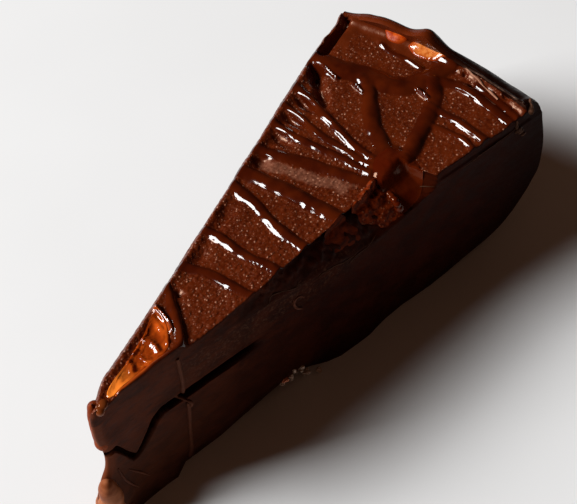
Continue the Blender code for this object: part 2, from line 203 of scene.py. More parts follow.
# Pieces run together from rounded lumps: slot, finish, fineness of the mesh, depth and size of its
# unevenness, rounds of smoothing, then each lump's centre, half sizes and turn in degrees
FUSED_PIECES = {
    "nose_drip": ("upper_layer", "nose", 0.24, 0.1, 3.4, 22, (
        (-1.5, 1.0, 43.2, 1.5, 1.5, 1.2, 0),
        (-2.2, 0.9, 36.8, 1.5, 1.5, 8.4, 0),
        (-2.2, 0.5, 30.4, 1.5, 1.6, 2.6, 0),
    )),
    "tip_bead": ("topping", "bead", 0.14, 0.0, 1.0, 8, (
        (-0.4, -0.4, 44.0, 1.3, 1.1, 0.8, 20),
        (-1.6, -0.6, 43.4, 1.1, 1.2, 1.1, 0),
    )),
    "foot_blob": ("lower_layer", "foot", 0.3, 0.16, 4.0, 30, (
        (-4.6, -0.8, 13.6, 2.3, 2.3, 5.6, 0),
        (-4.2, -1.7, 11.0, 2.2, 2.0, 4.8, 0),
        (-4.9, -0.6, 9.6, 2.3, 2.8, 5.2, 0),
        (-4.7, -1.4, 6.0, 3.0, 3.0, 4.8, 0),
        (-3.6, -2.2, 3.0, 3.6, 2.8, 2.9, 0),
        (-4.7, 1.2, 5.0, 2.2, 2.6, 4.6, 0),
    )),
    "corner_flake": ("heel_coat", "flake", 0.14, 0.12, 1.0, 3, (
        (116.2, -25.7, 47.0, 0.8, 0.5, 1.0, 30),
        (115.8, -26.2, 46.3, 0.9, 0.5, 1.1, 60),
        (115.6, -26.6, 45.2, 0.8, 0.5, 1.2, 80),
    )),
}

# The lumps of the drizzle's lobe over the broken edge: centre, half sizes and turn in degrees
SPILL_LOBE = (
    (78.8, -13.2, 41.4, 0.9, 0.9, 0.8, 0),
    (78.4, -14.2, 41.4, 0.9, 0.9, 0.85, 0),
    (78.2, -15.2, 41.2, 0.9, 0.9, 0.85, 0),
    (78.0, -16.0, 40.6, 0.9, 0.9, 0.85, 0),
    (78.7, -15.0, 40.2, 1.2, 1.4, 1.1, 0),
    (78.3, -16.3, 39.2, 1.1, 1.2, 1.4, 0),
)

# Smeared lumps on the cut face at the heel's corner: distance along the cut, height, half sizes
CORNER_SMEAR = (
    (114.9, 43.2, 0.35, 0.9), (115.0, 41.9, 0.5, 0.9), (114.9, 40.9, 0.8, 0.6),
    (116.2, 39.9, 0.9, 0.6), (117.3, 38.2, 0.9, 0.5), (115.7, 41.0, 0.7, 0.8),
)

# Smears, strings and ridges on the cut face: slot, finish, how far out each lies, then the distance
# along the cut, height and thickness at each of its points
FACE_THREADS = {
    "lip_heel": ("upper_layer", "smear", 0.0, (
        (118.0, 41.9, 0.12), (113.0, 41.6, 0.26), (108.0, 41.5, 0.2), (103.0, 41.3, 0.3), (99.6, 41.0, 0.15),
    )),
    "lip_middle": ("upper_layer", "smear", 0.0, (
        (102.6, 40.9, 0.12), (99.5, 40.8, 0.3), (95.8, 40.8, 0.2), (92.7, 40.7, 0.28), (90.0, 40.8, 0.12),
    )),
    "lip_slump": ("upper_layer", "smear", 0.0, (
        (89.4, 40.5, 0.12), (87.3, 40.4, 0.3), (84.9, 39.9, 0.25), (82.3, 39.1, 0.4), (80.2, 38.3, 0.3),
        (78.5, 38.0, 0.15),
    )),
    "lip_wisp": ("upper_layer", "smear", 0.0, (
        (72.6, 36.4, 0.12), (69.6, 35.6, 0.22), (66.6, 35.4, 0.34), (64.6, 34.4, 0.3), (63.6, 33.2, 0.15),
    )),
    "lip_curve": ("upper_layer", "smear", 0.0, (
        (66.0, 36.0, 0.12), (62.8, 35.8, 0.26), (60.2, 36.6, 0.3), (56.4, 37.1, 0.32), (54.6, 36.2, 0.12),
    )),
    "lip_tip": ("upper_layer", "smear", 0.0, (
        (53.6, 37.5, 0.1), (50.0, 38.0, 0.22), (46.0, 38.4, 0.2), (41.0, 39.2, 0.12),
    )),
    "lip_scratch": ("upper_layer", "smear", 0.0, (
        (50.3, 39.3, 0.2), (49.2, 38.5, 0.4), (47.3, 39.1, 0.35), (45.1, 40.0, 0.3), (42.8, 40.6, 0.45),
        (41.9, 39.7, 0.35), (41.0, 39.3, 0.4), (39.4, 38.7, 0.2),
    )),
    "upper_string": ("upper_layer", "string", 0.05, (
        (17.7, 42.4, 0.9), (17.8, 39.6, 1.05), (18.0, 36.3, 1.0), (18.1, 33.0, 0.95), (17.9, 29.7, 1.0),
    )),
    "string_hook": ("upper_layer", "string", 0.3, (
        (17.8, 29.6, 0.8), (18.5, 28.6, 0.8), (18.9, 27.8, 0.5),
    )),
    "second_hook": ("upper_layer", "string", 1.2, (
        (16.8, 28.4, 0.5), (17.2, 27.2, 0.7), (17.8, 26.2, 0.75), (18.8, 25.5, 0.7), (18.7, 24.2, 0.8),
    )),
    "lower_string": ("lower_layer", "string", 0.05, (
        (18.8, 24.0, 0.9), (18.6, 19.1, 1.0), (18.3, 14.6, 0.95), (18.1, 9.8, 0.95), (17.8, 5.0, 1.1),
        (17.2, 2.6, 1.4),
    )),
    "foot_ridge": ("lower_layer", "string", 0.05, (
        (-1.1, 19.3, 0.3), (-0.8, 16.7, 0.6), (-0.3, 13.8, 0.6), (1.0, 10.3, 0.5), (2.4, 7.1, 0.3),
    )),
    "foot_smear": ("lower_layer", "string", 0.05, (
        (1.3, 15.9, 0.2), (3.0, 13.0, 0.5), (4.7, 9.9, 0.55), (6.2, 6.7, 0.2),
    )),
    "curl": ("upper_layer", "string", 0.15, (
        (51.1, 33.2, 0.35), (49.8, 34.7, 0.5), (48.6, 34.6, 0.6), (48.3, 33.0, 0.6), (49.1, 30.9, 0.6),
        (50.5, 29.4, 0.4),
    )),
}

# The line along the heel's rim, pale as a painted highlight: each point's place and thickness
RIM_LINE = (
    (120.1, -1.6, 45.3, 0.3), (119.4, -3.6, 45.4, 0.6), (118.6, -5.4, 45.2, 0.4), (117.9, -7.6, 45.3, 0.75),
    (117.2, -9.6, 45.1, 0.5), (116.6, -11.8, 45.1, 0.8), (115.7, -13.8, 44.8, 0.5), (115.2, -16.0, 44.8, 0.7),
    (114.5, -18.4, 44.6, 0.4),
)

# Crumbs: distance along the cut, height, size, and how far out from the cut face each lies
CRUMBS = (
    (44.4, 4.4, 0.9, 0.35), (45.4, 5.2, 1.2, 0.45), (47.4, 4.4, 1.1, 0.35), (47.8, 6.5, 0.8, 0.3),
    (50.0, 5.0, 0.9, 0.3), (51.8, 1.6, 1.3, 1.1), (54.9, 0.9, 0.9, 1.9),
)
RED_CRUMB = 1

# Strength and tint of the shine of the cut chocolate, and of what gleams more
CUT_SHINE = (0.05, (1.0, 0.5, 0.3))
WARM_SHINE = (0.25, (1.0, 0.6, 0.4))
GLAZED_BROWN = (0.092, 0.0125, 0.0019)

# Plain chocolates: name, dark and light colour, roughness, grain, relief, and shine
CHOCOLATES = {
    "string": ("string_chocolate", (0.070, 0.020, 0.010), (0.11, 0.036, 0.020), 0.5, 1.0, 0.12, CUT_SHINE),
    "nose": ("nose_glaze", (0.14, 0.0190, 0.0030), (0.24, 0.044, 0.0085), 0.4, 1.6, 0.05, CUT_SHINE),
    "foot": ("foot_chocolate", (0.16, 0.040, 0.013), (0.34, 0.115, 0.048), 0.42, 1.0, 0.08, CUT_SHINE),
    "bead": ("tip_bead", (0.10, 0.018, 0.003), (0.16, 0.036, 0.007), 0.14, 1.0, 0.03, WARM_SHINE),
    # The rim line's pale colours are a painted highlight
    "rim_line": ("rim_line", (0.14, 0.045, 0.022), (0.34, 0.16, 0.10), 0.35, 0.5, 0.12, WARM_SHINE),
    "spill": (
        "spilled_chocolate", (0.050, 0.0042, 0.0005), (0.088, 0.0105, 0.0015), 0.14, 1.4, 0.05, WARM_SHINE,
    ),
    "flake": ("pale_flake", (0.032, 0.012, 0.006), (0.078, 0.035, 0.021), 0.5, 0.5, 0.12, CUT_SHINE),
    "slumped": (
        "slumped_chocolate", (0.022, 0.0022, 0.0003), (0.120, 0.0150, 0.0026), 0.6, 0.5, 0.16, CUT_SHINE,
    ),
    "smear": ("smeared_lip", (0.036, 0.013, 0.007), (0.072, 0.031, 0.018), 0.5, 0.5, 0.12, CUT_SHINE),
    "crumb": ("crumb", (0.42, 0.25, 0.165), (0.66, 0.50, 0.38), 0.7, 0.3),
    "red_crumb": ("red_crumb", (0.72, 0.17, 0.07), (0.85, 0.34, 0.18), 0.6, 0.3),
}


# Curves and unevenness


def through(knots, value):
    """A smooth curve through (place, size) pairs, level beyond both ends."""
    place, size = np.array(knots).T
    slope = np.empty_like(size)
    slope[1:-1] = (size[2:] - size[:-2]) / (place[2:] - place[:-2])
    slope[0] = (size[1] - size[0]) / (place[1] - place[0])
    slope[-1] = (size[-1] - size[-2]) / (place[-1] - place[-2])
    value = np.clip(np.asarray(value, float), place[0], place[-1])
    i = np.clip(np.searchsorted(place, value, side="right") - 1, 0, len(place) - 2)
    span = place[i + 1] - place[i]
    t = (value - place[i]) / span
    rise = size[i] * (2 * t**3 - 3 * t**2 + 1) + size[i + 1] * (3 * t**2 - 2 * t**3)
    return rise + span * (slope[i] * (t**3 - 2 * t**2 + t) + slope[i + 1] * (t**3 - t**2))


def straight(knots, value):
    """Straight stretches between (place, size) pairs, level beyond both ends."""
    place, size = np.array(knots).T
    return np.interp(value, place, size)


def fade(start, end, value):
    """Rises smoothly from 0 at start to 1 at end."""
    t = np.clip((np.asarray(value, float) - start) / (end - start), 0.0, 1.0)
    return t * t * (3 - 2 * t)


def bell(offset, width):
    return np.exp(-((np.asarray(offset, float) / width) ** 2))


def scatter_key(cells, count):
    """A repeatable random index for each whole-numbered cell."""
    key = np.zeros(cells.shape[:-1], np.int64)
    for axis, prime in zip(range(cells.shape[-1]), (73856093, 19349663, 83492791)):
        key ^= cells[..., axis].astype(np.int64) * prime
    return np.abs(key) % count


def lumps(size, seed, *coordinates):
    """Smooth random unevenness from -1 to 1, with lumps of that size."""
    table = np.random.default_rng(seed).uniform(-1.0, 1.0, TABLE_SIZE)
    points = np.stack([np.asarray(c, float) for c in coordinates], axis=-1) / size + LUMP_SHIFT
    whole = np.floor(points)
    part = points - whole
    part = part * part * (3 - 2 * part)
    total = np.zeros(points.shape[:-1])
    for corner in itertools.product((0, 1), repeat=points.shape[-1]):
        share = np.prod(np.where(np.array(corner) == 1, part, 1 - part), axis=-1)
        total += share * table[scatter_key(whole + corner, TABLE_SIZE)]
    return total


def bubbles(size, seed, x, y):
    """Round caps of bubbles, one to a cell of that size: 1 on top of a cap, 0 between them."""
    random = np.random.default_rng(seed)
    spread = random.uniform(0.15, 0.85, (TABLE_SIZE, 2))
    radius = random.uniform(0.22, 0.55, TABLE_SIZE)
    points = np.stack((x, y), axis=-1) / size + BUBBLE_SHIFT
    whole = np.floor(points)
    highest = np.zeros(points.shape[:-1])
    for step in itertools.product((-1, 0, 1), repeat=2):
        key = scatter_key(whole + step, TABLE_SIZE)
        away = points - (whole + step + spread[key])
        highest = np.maximum(highest, 1 - np.sum(away**2, axis=-1) / radius[key] ** 2)
    return np.sqrt(highest)


def smooth_route(points, step):
    """Points at an even step along a smooth curve through a route's own points."""
    route = np.array(points, float)
    ends = np.vstack((2 * route[0] - route[1], route, 2 * route[-1] - route[-2]))
    out = []
    for a, b, c, d in zip(ends, ends[1:], ends[2:], ends[3:]):
        count = max(1, round(float(np.linalg.norm(c - b)) / step))
        for t in np.arange(count) / count:
            bend = (2 * a - 5 * b + 4 * c - d) * t**2 + (3 * b - a - 3 * c + d) * t**3
            out.append((2 * b + (c - a) * t + bend) / 2)
    out.append(route[-1])
    return np.array(out)


def from_route(x, y, route):
    """Distance of each place from a route."""
    nearest = np.full(x.shape, 1e9)
    for a, b in zip(route, route[1:]):
        run, climb = b - a
        t = ((x - a[0]) * run + (y - a[1]) * climb) / float(np.linalg.norm(b - a)) ** 2
        t = np.clip(t, 0.0, 1.0)
        away = np.hypot(x - a[0] - t * run, y - a[1] - t * climb)
        nearest = np.where(away < nearest, away, nearest)
    return nearest


# The slice's form


def left_extra(x):
    """How far the left cut face stands out from the plane of an even cut."""
    return LEFT_EXTRA * fade(-3.0, 5.0, x) * (1 - 0.45 * fade(98.0, 114.0, x))


def split_height(x):
    """Height at which the two cake layers part: the upper one ends in a tongue over the tip."""
    droop = 9.5 * (1 - fade(3.0, 13.0, x))
    beside_tongue = 9.0 * (1 - fade(-1.0, 4.4, x))
    return 27.5 - droop + beside_tongue


def half_width(x, z):
    """Half the slice's width at a station, with a rounded nose and the blob at the foot."""
    flank = x * SLOPE
    width = (np.hypot(flank, 2 * NOSE_HALF_WIDTH) + flank) / 2
    rounding = np.clip((x - through(TIP_PROFILE, z)) / NOSE_ROUNDING, 0.0, 1.0)
    width = width * np.sqrt(np.maximum(1 - (1 - rounding) ** 2, 0.004))
    return width + 1.9 * bell(z - 8, 6.0) * bell(x + 2.5, 5.0)


def broken_edge(x, z):
    """How far the broken top edge stands back, and how far up its slope each height is."""
    foot = straight(EDGE_BREAK_FOOT, x)
    up = np.clip((z - foot) / (HEIGHT - foot), 0.0, 1.0)
    return straight(EDGE_SET_BACK, x) * np.minimum(up / BREAK_TOP_SHARE, 1.0), up


def lip_recess(x, z):
    """The topping's cut side stands a little behind the smeared lip under it."""
    return 0.45 * fade(86.0, 90.0, x) * (1 - fade(119.0, 121.0, x)) * fade(41.4, 42.0, z)


def crevice_depth(x, z):
    """Depth of the dark crevice between the two cake layers near the tip."""
    slant = (split_height(x + 0.2) - split_height(x - 0.2)) / 0.4
    from_nose = fade(4.0, 13.0, x)
    half_gap = (0.85 + 0.5 * from_nose) * np.sqrt(1 + np.minimum(slant**2, 2.2))
    deepest = 3.8 * (1 - fade(24.0, 42.0, x)) * (0.3 + 0.7 * from_nose)
    return deepest * np.exp(-(((z - split_height(x) + 0.2) / half_gap) ** 6))


def cut_face_offset(x, z):
    """How far the broken cut face stands in from the plane of the cut."""
    crevice = crevice_depth(x, z) + lip_recess(x, z)
    broken, _ = broken_edge(x, z)
    near_base = np.maximum(1 - z / 7.0, 0.0) ** 2
    return crevice + broken + straight(FOOT_INSET, x) * near_base


def face_relief(x, z, seed):
    """Small unevenness of a cut face, outwards: knife drag, smears, pits and torn crumb."""
    drag = 0.16 * lumps(9.0, seed, x, z * 1.6) + 0.07 * lumps(2.6, seed + 1, x * 0.5 + z * 0.25, z)
    fine = 0.035 * lumps(0.8, seed + 2, x, z)
    return drag + fine


def slice_points(along, across, z):
    """Plan places in the slice: along from tip to heel, across from -1 at the broken cut to 1."""
    heel = (through(HEEL_PROFILE, z) - COAT_THICKNESS + COAT_OVERLAP) * np.cos(across * HALF_ANGLE)
    tip = through(TIP_PROFILE, z)
    x = tip + (heel - tip) * along
    width = half_width(x, z)
    offset = np.minimum(cut_face_offset(x, z), width * DEEPEST_SHARE)
    left_crevice = 0.7 * (1 - fade(22.0, 38.0, x)) * np.exp(-(((z - split_height(x)) / 0.9) ** 4))
    left_offset = np.minimum(left_crevice, width * 0.3) - left_extra(x)
    offset = np.where(across < 0, offset, left_offset)
    broken, up = broken_edge(x, z)
    torn = np.clip(broken / 2.0, 0.0, 1.0) * fade(0.0, 0.15, up) * (1 - fade(0.9, 1.0, up))
    rough = torn * (0.5 * lumps(2.4, 71, x, z * 1.4) + 0.4 * lumps(0.9, 72, x, z))
    outward = np.where(across < 0, face_relief(x, z, 11) + rough, face_relief(x, z, 31))
    offset = offset - outward * fade(0.0, 3.0, x - tip) * (1 - 0.5 * (width < 2.5))
    return x, across * (width - offset)


def shelf_height(x, y, start=0.9, end=1.0):
    """Height of the broken edge's slope beside the cut, and of the top beyond it.

    Between start and end, shares of the way from the cut to the top's edge, it rises to the top.
    """
    from_cut = y + half_width(x, HEIGHT)
    up = np.clip(from_cut / np.maximum(straight(EDGE_SET_BACK, x), 0.5), 0.0, 1.0)
    foot = straight(EDGE_BREAK_FOOT, x)
    slope = foot + (HEIGHT - foot) * up * BREAK_TOP_SHARE
    return slope + (top_height(x, y) - slope) * fade(start, end, up)


def ramp_height(x, y):
    """The same, with a long smooth ramp under the drizzle that runs down over the edge."""
    return shelf_height(x, y, 0.55, 0.9)


def strand_relief(x, y, from_left):
    """Height of the drizzle above the top, and 1 where its smooth surface lies."""
    raised = np.zeros(x.shape)
    smooth = np.zeros(x.shape)
    for number, (width, height, points) in enumerate(STRANDS.values()):
        route = smooth_route(points, 0.6)
        reach = width * 0.75 + 0.6
        low = route.min(axis=0) - reach
        high = route.max(axis=0) + reach
        near = (x > low[0]) & (x < high[0]) & (y > low[1]) & (y < high[1])
        if not near.any():
            continue
        place = x[near], y[near]
        away = from_route(*place, route)
        spread = 1 + 0.16 * lumps(3.4, 100 + number, *place) + 0.05 * lumps(1.3, 130 + number, *place)
        swell = 1 + 0.26 * lumps(3.8, 160 + number, *place) + 0.10 * lumps(1.5, 190 + number, *place)
        half = width / 2 * spread
        bead = height * swell * np.maximum(1 - (away / half) ** 2, 0.0) ** 0.8
        skirt = 0.10 * height * bell((away - half) / half, 0.24)
        raised[near] += np.maximum(bead, skirt) ** 3
        smooth[near] = np.maximum(smooth[near], 1 - fade(half * 0.94, half * 1.14, away))
    near_left = 0.3 + 0.7 * fade(0.4, 3.4, from_left)
    return np.cbrt(raised) * near_left, smooth


def top_relief(x, y):
    """Height of the top above its level, where it is smooth drizzle, and where it is lighter glaze."""
    from_left = (half_width(x, HEIGHT) + left_extra(x) - y) * math.cos(HALF_ANGLE)
    from_heel = through(HEEL_PROFILE, 44.0) - COAT_THICKNESS - np.hypot(x, y)
    strands, smooth = strand_relief(x, y, from_left)
    hub = np.hypot((x - 84.2) / 5.4, (y + 8.6) / 4.0)
    hub_height = 1.1 * np.maximum(1 - hub**2.2, 0.0) ** 0.6
    strands = np.cbrt(strands**3 + hub_height**3)
    for x1, y1, high1, x2, y2, high2, half in GLINT_RIDGES:
        near = (x > min(x1, x2) - 2) & (x < max(x1, x2) + 2) & (y > min(y1, y2) - 2) & (y < max(y1, y2) + 2)
        run, climb = x2 - x1, y2 - y1
        share = ((x[near] - x1) * run + (y[near] - y1) * climb) / math.hypot(run, climb) ** 2
        share = np.clip(share, 0, 1)
        away = np.hypot(x[near] - x1 - share * run, y[near] - y1 - share * climb)
        ridge = (high1 + (high2 - high1) * share) * bell(away, half) * 1.15
        strands[near] = np.maximum(strands[near], ridge)
        smooth[near] = np.maximum(smooth[near], fade(1.5, 1.0, away / half))
    smooth = np.maximum(smooth, 1 - fade(0.9, 1.05, hub))
    patchy = x + 0.9 * lumps(2.6, 5, x, y)
    behind_band = fade(112.0, 114.5, patchy) * fade(2.0, 5.0, y)
    corner = fade(104.5, 107.0, patchy) * fade(7.2, 5.0, from_left)
    glazed = np.maximum(np.maximum(behind_band, corner), fade(2.2, 1.0, from_heel) * fade(-3.0, 1.0, y))
    ground = 0.22 * lumps(7.0, 21, x, y) + 0.10 * lumps(2.4, 22, x, y)
    ground = ground + 0.45 * glazed * (0.5 + lumps(3.2, 23, x, y)) + 0.9 * fade(3.0, 0.3, from_heel) ** 2
    rim = 0.55 * bell(from_left - 1.0, 0.9) * (0.75 + 0.4 * lumps(3.5, 24, x, x * 0))
    shoulder = -0.5 * fade(1.1, 0.0, from_left) ** 1.5
    hollow = np.zeros(x.shape)
    for cx, cy, long, wide, turn, depth in TOP_HOLLOWS:
        turned = math.radians(turn)
        u = ((x - cx) * math.cos(turned) + (y - cy) * math.sin(turned)) / long
        v = (-(x - cx) * math.sin(turned) + (y - cy) * math.cos(turned)) / wide
        hollow = np.maximum(hollow, depth * np.exp(-((u * u + v * v) ** 1.5)))
    trough = 0.5 * bell(from_left - 3.4, 1.3) * fade(30, 40, x) * (0.8 + 0.5 * lumps(4.0, 28, x, x * 0))
    slot = 3.0 * fade(101, 104, x) * np.exp(-(((from_left - 2.0) / 1.05) ** 4))
    basin = 0.5 * inside_outline(x, y, TIP_SAUCE, 1.0)
    pocks = 0.12 * bubbles(1.4, 25, x, y) + 0.05 * bubbles(0.8, 26, x, y) + 0.03 * lumps(0.6, 27, x, y)
    bare = (1 - smooth) * (1 - glazed)
    height = ground + rim + shoulder + pocks * bare - trough * (1 - 0.6 * smooth)
    height = height - np.maximum(hollow, slot) * (1 - 0.8 * fade(0.3, 0.8, strands)) - basin
    height = height + strands * (1 - fade(0.0, 1.2, basin))
    return height, smooth, glazed * (1 - smooth)


def matt_patch(x, y):
    """1 on the pale matt strip between two of the strands."""
    away = from_route(x, y, smooth_route(MATT_STRIP, 1.0))
    return 1 - fade(1.0, 2.3, away + 0.9 * lumps(2.0, 29, x, y) + 0.4 * lumps(0.9, 30, x, y))


def outside_outline(x, y, outline):
    """Distance of each place outside a closed outline, 0 within it."""
    away = from_route(x, y, np.array((*outline, outline[0]), float))
    return np.where(inside_outline(x, y, outline, 1e-3) > 0.5, 0.0, away)


def inside_outline(x, y, outline, soft):
    """1 well inside a closed outline, falling to 0 at its edge over the soft distance."""
    loop = np.array((*outline, outline[0]), float)
    away = from_route(x, y, loop)
    inside = np.zeros(x.shape, bool)
    for a, b in zip(loop, loop[1:]):
        crosses = (a[1] > y) != (b[1] > y)
        reach = np.where(b[1] == a[1], 1e-9, b[1] - a[1])
        inside ^= crosses & (x < a[0] + (y - a[1]) * (b[0] - a[0]) / reach)
    return fade(0.0, soft, np.where(inside, away, 0.0))


# Making pieces


def deselect_all():
    if bpy.context.object and bpy.context.object.mode != "OBJECT":
        bpy.ops.object.mode_set(mode="OBJECT")
    bpy.ops.object.select_all(action="DESELECT")


def points_of(mesh):
    """The mesh's vertices as an array of x, y, z."""
    points = np.empty(len(mesh.vertices) * 3)
    mesh.vertices.foreach_get("co", points)
    return points.reshape(-1, 3)


def set_points(mesh, x, y, z):
    """Places the vertices, given in millimetres from the whole cake's centre."""
    points = np.stack((x + CAKE_CENTRE_X, y + CAKE_CENTRE_Y, z), axis=-1) * MM
    mesh.vertices.foreach_set("co", points.ravel())
    mesh.update()


def subdivide_edges(obj, wanted, cuts):
    """Cuts the wanted edges of the active mesh into even lengths."""
    mesh = obj.data
    mesh.vertices.foreach_set("select", np.zeros(len(mesh.vertices), bool))
    mesh.polygons.foreach_set("select", np.zeros(len(mesh.polygons), bool))
    mesh.edges.foreach_set("select", wanted)
    bpy.ops.object.mode_set(mode="EDIT")
    bpy.ops.mesh.subdivide(number_cuts=cuts, quadcorner="FAN")
    bpy.ops.object.mode_set(mode="OBJECT")


def sliced_block(name, along, across, up, plain_levels=()):
    """A closed block, 0 to 1 along, -1 to 1 across and 0 to 1 up, evenly sliced each way.

    The levels in plain_levels are hidden faces, which stay in strips across the slice.
    """
    deselect_all()
    bpy.ops.mesh.primitive_cube_add(size=1.0)
    obj = bpy.context.object
    obj.name = name
    bpy.ops.object.mode_set(mode="EDIT")
    bpy.ops.mesh.select_mode(type="EDGE")
    bpy.ops.object.mode_set(mode="OBJECT")
    for axis, counts in ((2, up), (0, along), (1, across)):
        for count in counts:
            mesh = obj.data
            points = points_of(mesh)
            ends = np.empty(len(mesh.edges) * 2, int)
            mesh.edges.foreach_get("vertices", ends)
            first, second = points[ends.reshape(-1, 2).T]
            wanted = np.abs(first - second)[:, axis] > TINY
            for other in {0, 1, 2} - {axis}:
                wanted &= np.abs(first - second)[:, other] < TINY
            if axis == 1:
                inner = np.abs(first[:, 0]) < 0.5 - TINY
                for level in plain_levels:
                    wanted &= ~(inner & (np.abs(first[:, 2] - (level - 0.5)) < TINY))
            subdivide_edges(obj, wanted, count - 1)
    points = points_of(obj.data)
    return obj, points[:, 0] + 0.5, points[:, 1] * 2, points[:, 2] + 0.5


def faces_on(mesh, on_vertex):
    """True for each face whose vertices all are marked."""
    starts = np.empty(len(mesh.polygons), int)
    counts = np.empty(len(mesh.polygons), int)
    mesh.polygons.foreach_get("loop_start", starts)
    mesh.polygons.foreach_get("loop_total", counts)
    corners = np.empty(len(mesh.loops), int)
    mesh.loops.foreach_get("vertex_index", corners)
    marked = np.add.reduceat(on_vertex[corners].astype(int), starts)
    return marked == counts


def set_attribute(obj, name, values):
    attribute = obj.data.attributes.new(name, "FLOAT", "POINT")
    attribute.data.foreach_set("value", np.asarray(values, np.float32))


def finish_piece(obj, materials, stands_for=(), sharp=50.0):
    """Gives a piece its finish, hides the solids that it stands for, and hangs it under the root."""
    obj.data.name = obj.name
    obj.data.materials.clear()
    for material in materials:
        obj.data.materials.append(material)
    deselect_all()
    obj.select_set(True)
    bpy.context.view_layer.objects.active = obj
    bpy.ops.object.mode_set(mode="EDIT")
    bpy.ops.mesh.select_all(action="SELECT")
    bpy.ops.mesh.normals_make_consistent(inside=False)
    bpy.ops.object.mode_set(mode="OBJECT")
    bpy.ops.object.shade_smooth_by_angle(angle=math.radians(sharp))
    if stands_for:
        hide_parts(*stands_for)
    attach(obj, "root")


# The four parts of the slice


def station_x(along):
    return NOSE_X + (CUT_LENGTH - NOSE_X) * along


def mark_painted_shade_and_light(obj, x, z):
    # Painted shade deep in the crevice, and painted light on the nose
    set_attribute(obj, "deep", fade(0.3, 0.9, crevice_depth(x, z)))
    set_attribute(obj, "nose", fade(2.8, 0.8, x - through(TIP_PROFILE, z)))


def second_finish(obj, marked):
    """Gives the marked faces the second of the piece's finishes."""
    obj.data.polygons.foreach_set("material_index", np.where(marked, 1, 0).astype(np.int32))
    obj.data.update()


def stations(along):
    """Closer stations towards the tip, where the nose is round."""
    return along**1.25


def lower_layer(materials):
    obj, along, across, up = sliced_block("lower_cake", (20, 22), (4, 5), (8, 8), (1.0,))
    along = stations(along)
    up = 1 - (1 - up) ** 1.25
    z = up * (split_height(station_x(along)) + OVERLAP)
    x, y = slice_points(along, across, z)
    set_points(obj.data, x, y, z)
    mark_painted_shade_and_light(obj, x, z)
    finish_piece(obj, materials, ["lower_layer"])


def upper_layer(materials):
    obj, along, across, up = sliced_block("upper_cake", (20, 22), (4, 5), (5, 7), (0.0, 1.0))
    along = stations(along)
    x0 = station_x(along)
    low = split_height(x0) - OVERLAP
    high = through(TOPPING_UNDERSIDE, x0) + OVERLAP
    z = low + up**1.2 * (high - low)
    x, y = slice_points(along, across, z)
    set_points(obj.data, x, y, z)
    mark_painted_shade_and_light(obj, x, z)
    under_lip = fade(28.5, 33.5, z) * fade(12.0, 22.0, x) * (1 - fade(52.0, 78.0, x)) * (across < 0)
    set_attribute(obj, "smeared", under_lip)
    finish_piece(obj, materials, ["upper_layer"])


def topping(materials):
    obj, along, across, up = sliced_block("drizzled_topping", (20, 24), (10, 13), (3, 5), (0.0,))
    on_top = faces_on(obj.data, up > 1 - TINY)
    along = stations(along)
    x0 = station_x(along)
    edge_round = 0.4
    chamfer = 0.29 * edge_round
    at_edge = np.abs(across) > 1 - TINY
    tx, ty = slice_points(along, across, HEIGHT + 0 * along)
    width = half_width(tx, HEIGHT) + np.where(across > 0, left_extra(tx), 0.0)
    inset = np.where(up > 1 - TINY, chamfer, 0.0)
    from_edge = (1 - np.abs(across)) * width + chamfer
    low_edge = np.clip(edge_round - from_edge, 0.0, edge_round)
    drop = edge_round - np.sqrt(edge_round**2 - low_edge**2)
    relief, smooth, glazed = top_relief(tx, ty)
    high = HEIGHT + relief - drop
    low = through(TOPPING_UNDERSIDE, x0) - OVERLAP
    z = low + up * (high - low)
    x, y = slice_points(along, across, z)
    to_top = np.clip(edge_round - (high - z) - chamfer, 0.0, edge_round)
    side_inset = edge_round - np.sqrt(edge_round**2 - to_top**2)
    inset = np.where(at_edge, np.maximum(side_inset, inset), inset)
    y = y * (1 - np.clip(inset / np.maximum(width, 0.5), 0.0, 0.4))
    set_points(obj.data, x, y, z)
    set_attribute(obj, "glaze", smooth)
    set_attribute(obj, "glazed", glazed)
    set_attribute(obj, "matt", matt_patch(x, y))
    # Painted shade on the steep torn wall under the top's broken edge
    torn_wall_shade = fade(0.7, 0.92, broken_edge(x, z)[1]) * fade(2.0, 5.0, straight(EDGE_SET_BACK, x))
    set_attribute(obj, "deep", torn_wall_shade * (across < 0))
    set_attribute(obj, "amber", 1 - fade(0.0, 0.9, outside_outline(x, y, TIP_SAUCE)))
    finish_piece(obj, materials, ["topping"])
    second_finish(obj, ~on_top)


def rim_height(across):
    """Height of the glazed rim: uneven, with a flake near its middle and a rise at its right corner."""
    wave = 0.5 * np.sin(5.0 * across) + 0.3 * np.sin(13.0 * across + 1.0)
    flake = 2.7 * bell(across - 0.16, 0.12)
    fin = 0.9 * bell(across + 0.97, 0.05)
    left = 0.8 * bell(across - 0.55, 0.25) - 3.0 * fade(0.72, 1.0, across)
    return 46.2 + wave + flake + fin + left


